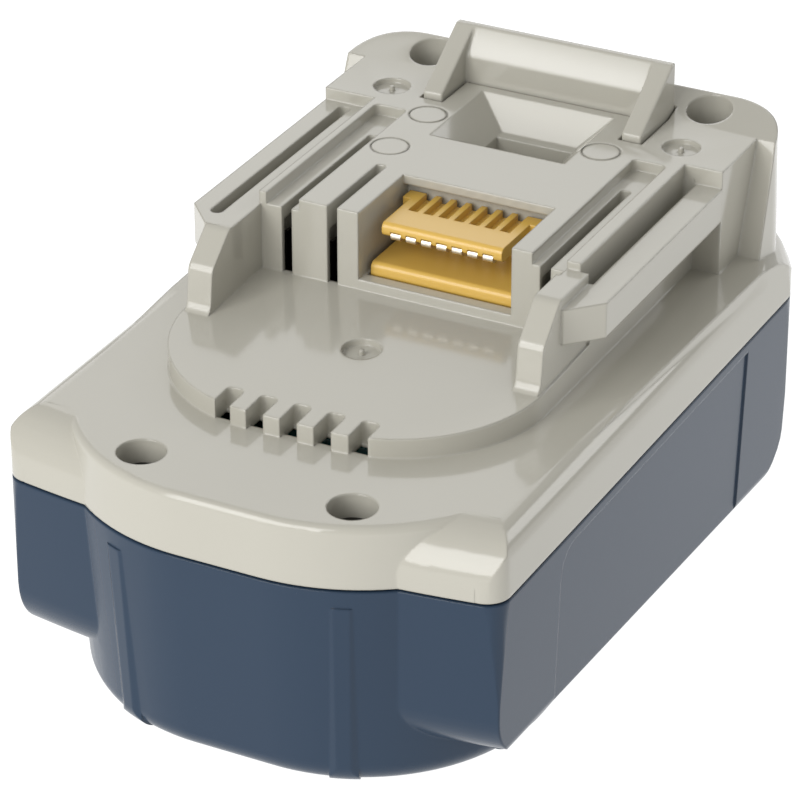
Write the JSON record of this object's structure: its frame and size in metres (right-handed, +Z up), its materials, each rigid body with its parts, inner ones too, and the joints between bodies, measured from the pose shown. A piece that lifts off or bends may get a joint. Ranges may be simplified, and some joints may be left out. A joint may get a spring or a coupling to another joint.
{
  "type": "power tool battery pack",
  "caption": "Slide-on battery pack: dark tub, light cover with side rails, terminal slots, yellow connector and a sprung latch hook worked by a rear button.",
  "frame": {"origin": "centre of the base, on the surface the pack stands on", "axes": "+Y from the rounded nose to the latch and release button, +Z up through the latch hook"},
  "size_m": [0.075, 0.1128, 0.0656],
  "materials": {
    "tub_plastic": "satin moulded plastic",
    "cover_plastic": "satin moulded plastic",
    "connector_plastic": "satin moulded plastic",
    "contact_metal": "tinned spring metal",
    "terminal_copper": "bare spring copper",
    "steel": "plain steel",
    "holder_plastic": "matt moulded plastic",
    "cell_sleeve": "shrink sleeve",
    "nickel": "rolled strip",
    "insulating_sheet": "pressed sheet",
    "foam_rubber": "closed foam",
    "board_laminate": "coated laminate",
    "can_aluminium": "drawn can",
    "component_resin": "moulded resin"
  },
  "bodies": {
    "pack": {"lower_case": "tub_plastic", "upper_case": "cover_plastic", "latch_spring_left": "steel", "latch_spring_right": "steel", "terminal_block": "connector_plastic", "signal_contact_1": "contact_metal", "signal_contact_2": "contact_metal", "signal_contact_3": "contact_metal", "signal_contact_4": "contact_metal", "signal_contact_5": "contact_metal", "signal_contact_6": "contact_metal", "signal_contact_7": "contact_metal", "terminal_charge": "terminal_copper", "terminal_positive": "terminal_copper", "terminal_negative": "terminal_copper", "front_screws": "steel", "rear_screws": "steel", "circuit_board": "board_laminate", "controller_chip": "component_resin", "power_fuse": "component_resin", "bulk_capacitor": "can_aluminium", "thermistor": "component_resin", "floor_pad": "foam_rubber", "cell_holder_left": "holder_plastic", "cell_holder_right": "holder_plastic", "cell_1": "cell_sleeve", "cell_2": "cell_sleeve", "cell_3": "cell_sleeve", "cell_4": "cell_sleeve", "cell_5": "cell_sleeve", "cell_6": "cell_sleeve", "cell_7": "cell_sleeve", "cell_8": "cell_sleeve", "strap_left_1": "nickel", "strap_left_2": "nickel", "strap_left_3": "nickel", "strap_right_1": "nickel", "strap_right_2": "nickel", "insulator_left": "insulating_sheet", "insulator_right": "insulating_sheet"},
    "latch": {"latch_hook": "cover_plastic", "release_button": "cover_plastic"}
  },
  "joints": [
    {"name": "latch_slide", "type": "slide", "parent": "pack", "child": "latch", "axis": [0, 0, -1], "range_m": [0, 0.007], "stiffness_N_per_m": 600, "springref_m": -0.008, "deforming": ["latch_spring_left", "latch_spring_right"]}
  ]
}
